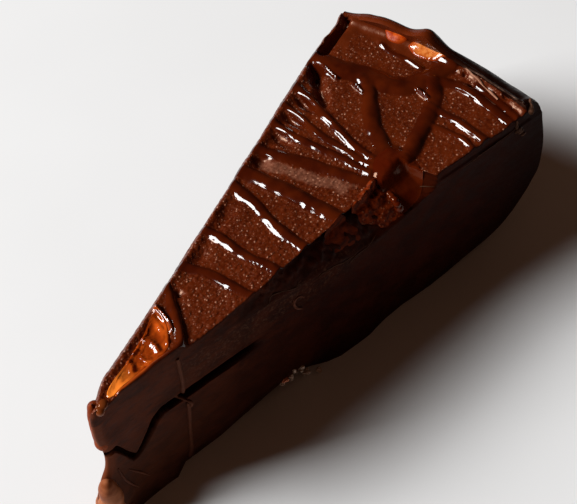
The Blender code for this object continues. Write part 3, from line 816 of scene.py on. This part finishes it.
def heel_coat(materials):
    obj, through_wall, across, up = sliced_block("heel_glaze", (4,), (12, 15), (8, 11))
    high = rim_height(across) + 0.12 * lumps(0.12, 43, across, across * 0)
    shoulder = 1.1 + 3.0 * fade(0.3, -0.6, across)
    bend = 0.7
    wall_up = np.clip(up / bend, 0.0, 1.0)
    angle = np.clip((up - bend) / (1 - bend), 0.0, 1.0) * math.pi / 2
    wall_top = high - shoulder
    z = wall_up * wall_top + shoulder * np.sin(angle)
    inward = shoulder * (1 - np.cos(angle))
    fan = across * HALF_ANGLE
    flake = 1.5 * bell(across - 0.16, 0.12) * bell(z - 46.2, 4.0)
    fuller = 0.9 * fade(0.3, -0.3, across) * bell(z - 43.0, 5.0)
    outer = through(HEEL_PROFILE, np.minimum(z, wall_top + 1.0)) + flake + fuller - inward
    outer = outer + 0.22 * lumps(9.0, 41, fan * 120, z * 0.5) + 0.08 * lumps(2.5, 42, fan * 120, z)
    inner = np.minimum(through(HEEL_PROFILE, z) - COAT_THICKNESS, outer - 0.7)
    radius = inner + (outer - inner) * through_wall
    bead = 0.3 * np.sin(np.clip(1 - through_wall, 0, 1) * math.pi) * fade(0.98, 1.0, up)
    x = radius * np.cos(fan)
    offset = (cut_face_offset(x, z) - 0.5 * face_relief(x, z, 11)) * fade(0.5, 1.0, -across)
    y = radius * np.sin(fan) + np.where(across < 0, offset, across * left_extra(x))
    set_points(obj.data, x, y, z + bead)
    inner_side = 1 - fade(0.0, 0.7, through_wall)
    set_attribute(obj, "glazed", fade(-0.15, 0.25, across) * np.maximum(inner_side, fade(0.9, 1.0, up)))
    on_cut = faces_on(obj.data, across < -1 + TINY)
    finish_piece(obj, materials, ["heel_coat"])
    second_finish(obj, on_cut)


# Sauce, drips and crumbs


def poured(name, outline, thickness, materials, ground, sink=0.6, waves=0.12, ridges=(), bluntness=0.5):
    """A pool of sauce or chocolate lying in a closed outline on the ground, blunt or thin at its edge."""
    deselect_all()
    bpy.ops.mesh.primitive_uv_sphere_add(segments=128, ring_count=48, radius=1.0)
    obj = bpy.context.object
    obj.name = name
    unit = points_of(obj.data)
    loop = smooth_route((*outline, outline[0]), 0.5)[:-1]
    centre = loop.mean(axis=0)
    turned = np.unwrap(np.arctan2(loop[:, 1] - centre[1], loop[:, 0] - centre[0]))
    order = np.argsort(turned % (2 * math.pi))
    bearing = (turned % (2 * math.pi))[order]
    reach = np.hypot(*(loop - centre).T)[order]
    angle = np.arctan2(unit[:, 1], unit[:, 0]) % (2 * math.pi)
    out = np.interp(angle, bearing, reach, period=2 * math.pi)
    ring = np.hypot(unit[:, 0], unit[:, 1])
    x = centre[0] + np.cos(angle) * out * ring
    y = centre[1] + np.sin(angle) * out * ring
    rise = thickness * np.maximum(1 - ring**2.6, 0.0) ** bluntness
    rise = rise + waves * (lumps(2.2, 51, x, y) + 0.5 * lumps(1.0, 52, x, y)) * (1 - ring**4)
    for width, height, points in ridges:
        away = from_route(x, y, smooth_route(points, 0.6))
        rise = rise + height * bell(away, width / 2) * (1 - ring**6)
    z = ground(x, y) + np.where(unit[:, 2] >= -TINY, rise, -sink * (1 - ring**2))
    set_points(obj.data, x, y, z)
    set_attribute(obj, "thin", fade(0.62, 1.0, ring))
    finish_piece(obj, materials, sharp=180.0)


def top_height(x, y):
    return HEIGHT + top_relief(x, y)[0]


def fused(name, slot, materials, fineness, lumpiness, lump_size, smoothing, balls):
    """Rounded lumps run together into one closed piece: centre, half sizes and turn of each."""
    deselect_all()
    parts = []
    for cx, cy, cz, rx, ry, rz, turn in balls:
        bpy.ops.mesh.primitive_ico_sphere_add(subdivisions=4, radius=1.0)
        part = bpy.context.object
        centre = Matrix.Translation(Vector((cx + CAKE_CENTRE_X, cy + CAKE_CENTRE_Y, cz)) * MM)
        turned = Matrix.Rotation(math.radians(turn), 4, "Z")
        sized = Matrix.Diagonal((rx * MM, ry * MM, rz * MM, 1))
        part.data.transform(centre @ turned @ sized)
        parts.append(part)
    for part in parts:
        part.select_set(True)
    bpy.context.view_layer.objects.active = parts[0]
    bpy.ops.object.join()
    obj = bpy.context.object
    obj.name = name
    remesh = obj.modifiers.new("run together", "REMESH")
    remesh.mode = "VOXEL"
    remesh.voxel_size = fineness * MM
    bpy.ops.object.modifier_apply(modifier=remesh.name)
    soften = obj.modifiers.new("soften", "SMOOTH")
    soften.iterations = smoothing
    soften.factor = 0.5
    bpy.ops.object.modifier_apply(modifier=soften.name)
    if lumpiness:
        points = points_of(obj.data)
        normals = np.empty(points.size)
        obj.data.vertices.foreach_get("normal", normals)
        x, y, z = points.T / MM
        push = lumpiness * (lumps(lump_size, 61, x, y, z) + 0.5 * lumps(lump_size * 0.45, 62, x, y, z))
        points += normals.reshape(-1, 3) * push[:, None] * MM
        obj.data.vertices.foreach_set("co", points.ravel())
    finish_piece(obj, materials, sharp=180.0)


def cut_face_point(s, z, out=0.0):
    """A point on the broken cut face, s along the cut from the cake's centre, raised outwards."""
    x = s * math.cos(HALF_ANGLE)
    width = half_width(x, z) - min(float(cut_face_offset(x, z)), float(half_width(x, z)) * DEEPEST_SHARE)
    return x - out * math.sin(HALF_ANGLE), -float(width) - out * math.cos(HALF_ANGLE), z


def thread(name, points, thickness, materials):
    """A thin round thread of chocolate through points, its thickness given at each point."""
    deselect_all()
    bpy.ops.curve.primitive_bezier_curve_add()
    obj = bpy.context.object
    obj.name = name
    curve = obj.data
    curve.splines.clear()
    route = smooth_route([(*p, t) for p, t in zip(points, thickness)], 0.35)
    spline = curve.splines.new("POLY")
    spline.points.add(len(route) - 1)
    for point, (x, y, z, width) in zip(spline.points, route):
        point.co = ((x + CAKE_CENTRE_X) * MM, (y + CAKE_CENTRE_Y) * MM, z * MM, 1.0)
        point.radius = width
    curve.dimensions = "3D"
    curve.bevel_depth = 0.5 * MM
    curve.bevel_resolution = 4
    curve.use_fill_caps = True
    bpy.ops.object.convert(target="MESH")
    obj = bpy.context.object
    bpy.ops.object.mode_set(mode="EDIT")
    bpy.ops.mesh.select_all(action="SELECT")
    bpy.ops.mesh.remove_doubles(threshold=1e-6)
    bpy.ops.object.mode_set(mode="OBJECT")
    finish_piece(obj, materials, sharp=80.0)


def sauces(finish):
    """Amber sauce in its pools, and the drizzle and topping that slid over the broken edge."""
    poured("tip_sauce", TIP_SAUCE, 0.7, [finish["amber"]], top_height, ridges=TIP_SAUCE_RIPPLES)
    poured("heel_sauce_1", HEEL_SAUCE_1, 0.75, [finish["deep_amber"]], top_height, waves=0.1)
    poured("heel_sauce_2", HEEL_SAUCE_2, 0.9, [finish["pale_amber"]], top_height, waves=0.1)
    spilled, bubbly, slumped = ([finish[look]] for look in ("spill", "bubbly_spill", "slumped"))
    poured("spilled_drizzle", SPILLED_DRIZZLE, 0.9, spilled, ramp_height, 1.2, 0.12, DRIZZLE_FOLD, 1.2)
    fused("spill_lobe", "topping", spilled, 0.14, 0.0, 1.0, 10, SPILL_LOBE)
    poured("spilled_topping", SPILLED_TOPPING, 0.8, bubbly, shelf_height, 1.2, 0.5, TOPPING_FOLDS, 1.2)
    poured("slumped_piece", SLUMPED_PIECE, 0.5, slumped, shelf_height, 1.0, 0.55, (), 1.2)


def drips_and_flakes(finish):
    """Drips, beads and the foot's blob, and the broken glaze at the heel's right corner."""
    for name, (slot, look, *form) in FUSED_PIECES.items():
        fused(name, slot, [finish[look]], *form)
    turn = -12.9
    balls = [(*cut_face_point(s, z, 0.14), across, 0.35, up, turn) for s, z, across, up in CORNER_SMEAR]
    fused("corner_smear", "upper_layer", [finish["flake"]], 0.12, 0.1, 0.8, 3, balls)


def threads(finish):
    """Smears, strings and a curl of chocolate on the cut face, and the line round the heel's rim.

    The rim's line is pale as a painted highlight.
    """
    for name, (slot, look, out, route) in FACE_THREADS.items():
        points = [cut_face_point(s, z, out) for s, z, _ in route]
        thread(name, points, [width for *_, width in route], [finish[look]])
    points = [place for *place, _ in RIM_LINE]
    thread("rim_line", points, [width for *_, width in RIM_LINE], [finish["rim_line"]])


def crumbs(finish):
    """Torn crumbs on the broken cut face and along its foot, one of them reddish."""
    random = np.random.default_rng(17)
    for number, (s, z, size, out) in enumerate(CRUMBS):
        x, y, z = cut_face_point(s, z, out)
        balls = [
            (
                x + random.uniform(-0.5, 0.5) * size,
                y + random.uniform(-0.4, 0.4) * size,
                z + random.uniform(-0.3, 0.4) * size,
                size * random.uniform(0.45, 0.7),
                size * random.uniform(0.35, 0.6),
                size * random.uniform(0.3, 0.5),
                random.uniform(0, 180),
            )
            for _ in range(4)
        ]
        look = "red_crumb" if number == RED_CRUMB else "crumb"
        fused(f"crumb_{number + 1}", "lower_layer", [finish[look]], 0.12, 0.14, 0.5, 1, balls)


# Finishes


def fill(tree, node, sockets):
    """Sets a node's sockets to values, or joins them to other nodes' outputs."""
    for key, value in sockets.items():
        if isinstance(value, bpy.types.NodeSocket):
            tree.links.new(value, node.inputs[key])
        else:
            node.inputs[key].default_value = value


def add(tree, kind, sockets=None, **settings):
    """A node with its settings and sockets."""
    node = tree.nodes.new(kind)
    for key, value in settings.items():
        setattr(node, key, value)
    fill(tree, node, sockets or {})
    return node


def new_finish(name):
    """A new material, its nodes, its shader, and the place on the piece in millimetres."""
    material = bpy.data.materials.new(name)
    material.use_nodes = True
    tree = material.node_tree
    place = add(tree, "ShaderNodeTexCoord").outputs["Object"]
    scaled = add(tree, "ShaderNodeVectorMath", {0: place, "Scale": 1 / MM}, operation="SCALE")
    return material, tree, tree.nodes["Principled BSDF"], scaled.outputs["Vector"]


def noise(tree, vector, size, detail=3.0, roughness=0.5):
    """Noise with features of that size in millimetres, from 0 to 1."""
    sockets = {"Vector": vector, "Scale": 1.0 / size, "Detail": detail, "Roughness": roughness}
    return add(tree, "ShaderNodeTexNoise", sockets).outputs["Fac"]


def stretch(tree, value, low, high, to_low=0.0, to_high=1.0):
    """Turns the stretch of values from low to high into another one, smoothly and within it."""
    sockets = {"Value": value, "From Min": low, "From Max": high, "To Min": to_low, "To Max": to_high}
    return add(tree, "ShaderNodeMapRange", sockets, interpolation_type="SMOOTHSTEP").outputs["Result"]


def mixed(tree, share, first, second):
    """One colour turning into another; each is a colour or another node's output."""
    node = add(tree, "ShaderNodeMix", {"Factor": share}, data_type="RGBA")
    for socket, value in ((node.inputs[6], first), (node.inputs[7], second)):
        if isinstance(value, bpy.types.NodeSocket):
            tree.links.new(value, socket)
        else:
            socket.default_value = (*value, 1.0)
    return node.outputs[2]


def product(tree, first, second):
    return add(tree, "ShaderNodeMath", {0: first, 1: second}, operation="MULTIPLY").outputs["Value"]


def total(tree, first, second):
    return add(tree, "ShaderNodeMath", {0: first, 1: second}, operation="ADD").outputs["Value"]


def bump(tree, height, strength, distance):
    """Fine relief; height from 0 to 1 stands for that distance in millimetres."""
    sockets = {"Height": height, "Strength": strength, "Distance": distance * MM}
    return add(tree, "ShaderNodeBump", sockets).outputs["Normal"]


def attribute(tree, name):
    return add(tree, "ShaderNodeAttribute", attribute_name=name, attribute_type="GEOMETRY").outputs["Fac"]


def coordinate(tree, place, axis):
    return add(tree, "ShaderNodeSeparateXYZ", {0: place}).outputs[axis]


def cells(tree, place, closeness):
    """Cells for bubbles, about that many to a millimetre."""
    sockets = {"Vector": place, "Scale": closeness, "Randomness": 1.0}
    return add(tree, "ShaderNodeTexVoronoi", sockets, feature="F1")


def topping_finish():
    """Bubbly milk chocolate with painted glints on its bubbles, between smooth glossy drizzle, with one matt
    strip.
    """
    material, tree, shader, place = new_finish("topping_surface")
    glaze, glazed, matt, amber = (attribute(tree, name) for name in ("glaze", "glazed", "matt", "amber"))
    broad = noise(tree, place, 6.0, 3.0)
    mottled = noise(tree, place, 0.7, 3.0, 0.6)
    large = cells(tree, place, 0.95)
    large_cap = stretch(tree, large.outputs["Distance"], 0.04, 0.34, 1.0, 0.0)
    chance = add(tree, "ShaderNodeSeparateColor", {0: large.outputs["Color"]}).outputs[0]
    bright_cap = product(tree, large_cap, stretch(tree, chance, 0.1, 0.9, 0.25, 1.1))
    small_cap = stretch(tree, cells(tree, place, 1.9).outputs["Distance"], 0.0, 0.36, 1.0, 0.0)
    # Painted glints: pale colour on the bubbles' caps
    painted_glints = total(tree, product(tree, bright_cap, 0.8), product(tree, small_cap, 0.24))
    broad_share = stretch(tree, broad, 0.35, 0.65)
    patch = mixed(tree, broad_share, (0.056, 0.0058, 0.0008), (0.084, 0.0100, 0.0013))
    patch = mixed(tree, stretch(tree, mottled, 0.38, 0.7), patch, (0.096, 0.0135, 0.0018))
    uneven_matt = product(tree, matt, stretch(tree, mottled, 0.3, 0.62, 0.3, 0.8))
    patch = mixed(tree, uneven_matt, patch, (0.165, 0.056, 0.030))
    patch = mixed(tree, painted_glints, patch, (0.42, 0.185, 0.11))
    patch = mixed(tree, glazed, patch, GLAZED_BROWN)
    drizzle = mixed(tree, broad_share, (0.038, 0.0036, 0.0004), (0.062, 0.0072, 0.0008))
    drizzle = mixed(tree, amber, drizzle, (0.36, 0.055, 0.006))
    rough_patch = total(tree, stretch(tree, mottled, 0.3, 0.7, 0.26, 0.42), product(tree, matt, 0.3))
    uncovered = add(tree, "ShaderNodeMath", {0: 1.0, 1: glaze}, operation="SUBTRACT").outputs["Value"]
    relief = total(tree, product(tree, large_cap, 0.75), product(tree, small_cap, 0.25))
    bare = product(tree, uncovered, stretch(tree, glazed, 0.0, 1.0, 1.0, 0.15))
    bare = product(tree, bare, stretch(tree, matt, 0.0, 1.0, 1.0, 0.2))
    fill(tree, shader, {
        "Base Color": mixed(tree, glaze, patch, drizzle),
        "Roughness": total(tree, product(tree, rough_patch, uncovered), product(tree, glaze, 0.10)),
        "Specular Tint": mixed(tree, glaze, (1.0, 0.62, 0.42), (1.0, 1.0, 1.0)),
        "Normal": bump(tree, product(tree, relief, bare), 1.0, 0.17),
        "IOR": 1.46,
    })
    return material


def bubbly_spill_finish():
    """Chocolate with bubbles that slid down the broken edge: dark, with painted glints on small bubble caps.
    """
    material, tree, shader, place = new_finish("bubbly_spill")
    mottled = noise(tree, place, 1.1, 3.0, 0.6)
    cap = stretch(tree, cells(tree, place, 1.1).outputs["Distance"], 0.0, 0.38, 1.0, 0.0)
    share = stretch(tree, mottled, 0.35, 0.65)
    colour = mixed(tree, share, (0.046, 0.0042, 0.0006), (0.165, 0.0200, 0.0030))
    # Painted glints on the bubble caps
    pale = product(tree, product(tree, cap, mottled), 0.9)
    fill(tree, shader, {
        "Base Color": mixed(tree, pale, colour, (0.30, 0.11, 0.055)),
        "Normal": bump(tree, cap, 1.0, 0.12),
        "Roughness": 0.5,
        "Specular IOR Level": 0.06,
        "Specular Tint": (1.0, 0.5, 0.3, 1.0),
    })
    return material


def chocolate(name, dark, light, rough, grain=1.0, relief=0.12, shine=(0.5, (1.0, 1.0, 1.0)), heel=None):
    """Smooth dark chocolate with soft smears, streaked along the knife's way.

    With a second pair of colours it is the cut face's: darker colours toward the heel and
    nearly black at it, as painted shade; nearly black deep in the crevice, as painted shade;
    browner low down, pale where it is smeared, and warmer at the nose as painted light.
    """
    material, tree, shader, place = new_finish(name)
    streaks = {"Vector": place, "Scale": (0.35, 0.35, 0.8)}
    streaks = add(tree, "ShaderNodeMapping", streaks, vector_type="POINT").outputs["Vector"]
    smear = noise(tree, streaks, 1.6 * grain, 4.0, 0.55)
    broad = noise(tree, place, 9.0 * grain, 2.0)
    share = stretch(tree, total(tree, product(tree, smear, 0.6), product(tree, broad, 0.4)), 0.36, 0.64)
    colour = mixed(tree, share, dark, light)
    level = shine[0]
    if heel:
        x = coordinate(tree, place, "X")
        low = stretch(tree, coordinate(tree, place, "Z"), 16.0, 27.0, 0.4, 0.0)
        colour = mixed(tree, low, colour, (0.060, 0.0210, 0.0115))
        # Painted shade: darker colours toward the heel, then nearly black at the heel's end
        colour = mixed(tree, stretch(tree, x, -62.0, 2.0), colour, mixed(tree, share, *heel))
        painted_heel_shade = product(tree, stretch(tree, x, 34.0, 62.0), 0.75)
        colour = mixed(tree, painted_heel_shade, colour, (0.0042, 0.0003, 0.0001))
        speckle = stretch(tree, noise(tree, place, 0.7, 4.0, 0.7), 0.5, 0.66)
        smeared = product(tree, attribute(tree, "smeared"), speckle)
        colour = mixed(tree, product(tree, smeared, 0.55), colour, (0.115, 0.050, 0.028))
        # Painted light: warmer colour on the lit nose
        colour = mixed(tree, product(tree, attribute(tree, "nose"), 0.8), colour, (0.125, 0.028, 0.009))
        # Painted shade: nearly black, with no shine, deep in the crevice and on the torn wall
        deep = attribute(tree, "deep")
        colour = mixed(tree, product(tree, deep, 0.93), colour, (0.003, 0.0003, 0.0001))
        level = stretch(tree, deep, 0.0, 1.0, level, 0.0)
    height = total(tree, product(tree, smear, 0.7), product(tree, noise(tree, place, 0.5 * grain, 2.0), 0.3))
    fill(tree, shader, {
        "Base Color": colour,
        "Roughness": stretch(tree, smear, 0.3, 0.7, rough - 0.08, rough + 0.1),
        "Normal": bump(tree, height, 0.7, relief),
        "Specular IOR Level": level,
        "Specular Tint": (*shine[1], 1.0),
    })
    return material


def amber_finish(name, deep, bright, painted_glow_colour):
    """Amber sauce in the tip's pool, deep and bright by turns, with a painted glow in places and towards the
    tip.
    """
    material, tree, shader, place = new_finish(name)
    fine = noise(tree, place, 0.9, 3.0, 0.6)
    to_tip = stretch(tree, coordinate(tree, place, "X"), -57.0, -49.5, 0.85, 0.0)
    share = total(tree, noise(tree, place, 3.2, 2.0), product(tree, to_tip, 0.4))
    colour = mixed(tree, stretch(tree, share, 0.46, 0.72), deep, bright)
    # Painted glow of the light shining through the thin sauce
    painted_glow = total(tree, product(tree, stretch(tree, fine, 0.56, 0.8), 0.4), to_tip)
    fill(tree, shader, {
        "Base Color": mixed(tree, product(tree, painted_glow, 0.8), colour, painted_glow_colour),
        "Normal": bump(tree, fine, 0.35, 0.1),
        "Roughness": 0.10,
    })
    return material


def finishes():
    # Darker cut-face colours toward the heel, as painted shade
    shaded_heel_colours = ((0.0135, 0.0011, 0.00015), (0.0300, 0.0034, 0.0005))
    cut_colours = ((0.030, 0.0064, 0.0024), (0.086, 0.0210, 0.0094))
    finish = {look: chocolate(*values) for look, values in CHOCOLATES.items()}
    finish["topping"] = topping_finish()
    finish["cut_face"] = chocolate("cut_chocolate", *cut_colours, 0.55, 0.8, 0.2, CUT_SHINE, shaded_heel_colours)
    finish["coat"] = coat_finish()
    finish["bubbly_spill"] = bubbly_spill_finish()
    amber = ((0.20, 0.024, 0.0016), (0.49, 0.072, 0.005), (0.84, 0.24, 0.026))
    finish["amber"] = amber_finish("amber_sauce", *amber)
    pale = ((0.42, 0.085, 0.010), (0.62, 0.20, 0.045))
    finish["pale_amber"] = pale_amber_finish("pale_amber_sauce", *pale, 0.12, 0.4)
    deep = ((0.27, 0.022, 0.001), (0.50, 0.075, 0.004))
    finish["deep_amber"] = pale_amber_finish("deep_amber_sauce", *deep, 0.3, 0.08)
    return finish


def coat_finish():
    """Dark glaze round the heel, brown along the inner side and the top of its left half."""
    material, tree, shader, place = new_finish("heel_glaze")
    smear = noise(tree, place, 1.8, 4.0, 0.55)
    share = stretch(tree, noise(tree, place, 10.0, 2.0), 0.35, 0.65)
    colour = mixed(tree, share, (0.0048, 0.0006, 0.0001), (0.012, 0.0020, 0.0006))
    fill(tree, shader, {
        "Base Color": mixed(tree, attribute(tree, "glazed"), colour, GLAZED_BROWN),
        "Roughness": stretch(tree, smear, 0.3, 0.7, 0.30, 0.55),
        "Normal": bump(tree, smear, 0.8, 0.16),
        "Specular IOR Level": 0.12,
        "Specular Tint": (1.0, 0.6, 0.42, 1.0),
    })
    return material


def pale_amber_finish(name, low, high, rough, shine):
    """Amber sauce behind the broad band: deep orange at its edges, paler where it is thick.

    Its bright colours are partly the sauce's own and partly a painted glow and highlight.
    """
    material, tree, shader, place = new_finish(name)
    fine = noise(tree, place, 0.9, 3.0, 0.6)
    colour = mixed(tree, stretch(tree, fine, 0.35, 0.7), low, high)
    fill(tree, shader, {
        "Base Color": mixed(tree, attribute(tree, "thin"), colour, (0.24, 0.026, 0.0022)),
        "Normal": bump(tree, fine, 0.35, 0.1),
        "Roughness": rough,
        "Specular IOR Level": shine,
    })
    return material


# Floor, light and camera


def floor():
    deselect_all()
    bpy.ops.mesh.primitive_plane_add(size=2.4)
    obj = bpy.context.object
    obj.name = "floor"
    material, tree, shader, place = new_finish("pale_floor")
    tone = stretch(tree, noise(tree, place, 60.0, 2.0), 0.3, 0.7)
    fill(tree, shader, {
        "Base Color": mixed(tree, tone, (0.792, 0.792, 0.792), (0.808, 0.808, 0.808)),
        "Roughness": 0.9,
        "Specular IOR Level": 0.1,
    })
    obj.data.materials.append(material)


def studio():
    """One soft key light from behind the slice's left side, and a dim room."""
    scene = bpy.context.scene
    target = Vector((16.95, 13.6, 20.0)) * MM
    turn = math.radians(135.5)
    up = math.radians(35.9)
    distance = 3.026
    toward = Vector((math.cos(turn) * math.cos(up), math.sin(turn) * math.cos(up), math.sin(up)))
    data = bpy.data.lights.new("key", "AREA")
    data.shape = "RECTANGLE"
    data.size = 1.417
    data.size_y = 1.108
    data.energy = 166.0
    data.color = (0.987, 0.997, 1.0)
    key = bpy.data.objects.new("key", data)
    key.location = target + toward * distance
    key.rotation_euler = toward.to_track_quat("Z", "Y").to_euler()
    scene.collection.objects.link(key)
    world = bpy.data.worlds.new("room")
    world.use_nodes = True
    room = {"Color": (1.0, 0.5, 0.3, 1.0), "Strength": 0.042}
    fill(world.node_tree, world.node_tree.nodes["Background"], room)
    scene.world = world
    scene.view_settings.view_transform = "Standard"


def camera():
    """The photo's view: 53 degrees above the floor, from in front of the broken cut face."""
    scene = bpy.context.scene
    roll = math.radians(-1.6)
    forward = Vector((0.46487, 0.37779, -0.80073)).normalized()
    right = Vector((forward.y, -forward.x, 0.0)).normalized()
    above = right.cross(forward)
    side = right * math.cos(roll) + above * math.sin(roll)
    top = above * math.cos(roll) - right * math.sin(roll)
    distance = 0.344
    spot = Vector((16.95, 14.2 + CAKE_CENTRE_Y, 0.0)) * MM - forward * distance
    data = bpy.data.cameras.new("camera")
    data.lens = 85.0
    data.sensor_width = 36.0
    data.sensor_fit = "HORIZONTAL"
    data.clip_start = 0.01
    obj = bpy.data.objects.new("camera", data)
    obj.matrix_world = Matrix(
        (
            (side.x, top.x, -forward.x, spot.x),
            (side.y, top.y, -forward.y, spot.y),
            (side.z, top.z, -forward.z, spot.z),
            (0.0, 0.0, 0.0, 1.0),
        )
    )
    scene.collection.objects.link(obj)
    scene.camera = obj


def main():
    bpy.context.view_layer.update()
    finish = finishes()
    cut = finish["cut_face"]
    lower_layer([cut])
    upper_layer([cut])
    topping([finish["topping"], cut])
    heel_coat([finish["coat"], cut])
    sauces(finish)
    drips_and_flakes(finish)
    threads(finish)
    crumbs(finish)
    floor()
    studio()
    camera()


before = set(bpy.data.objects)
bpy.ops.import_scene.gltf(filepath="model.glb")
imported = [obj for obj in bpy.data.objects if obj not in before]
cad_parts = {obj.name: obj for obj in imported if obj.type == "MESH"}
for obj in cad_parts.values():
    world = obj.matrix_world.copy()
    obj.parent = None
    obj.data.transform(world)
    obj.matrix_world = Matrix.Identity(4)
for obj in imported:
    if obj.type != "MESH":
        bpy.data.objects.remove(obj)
main()
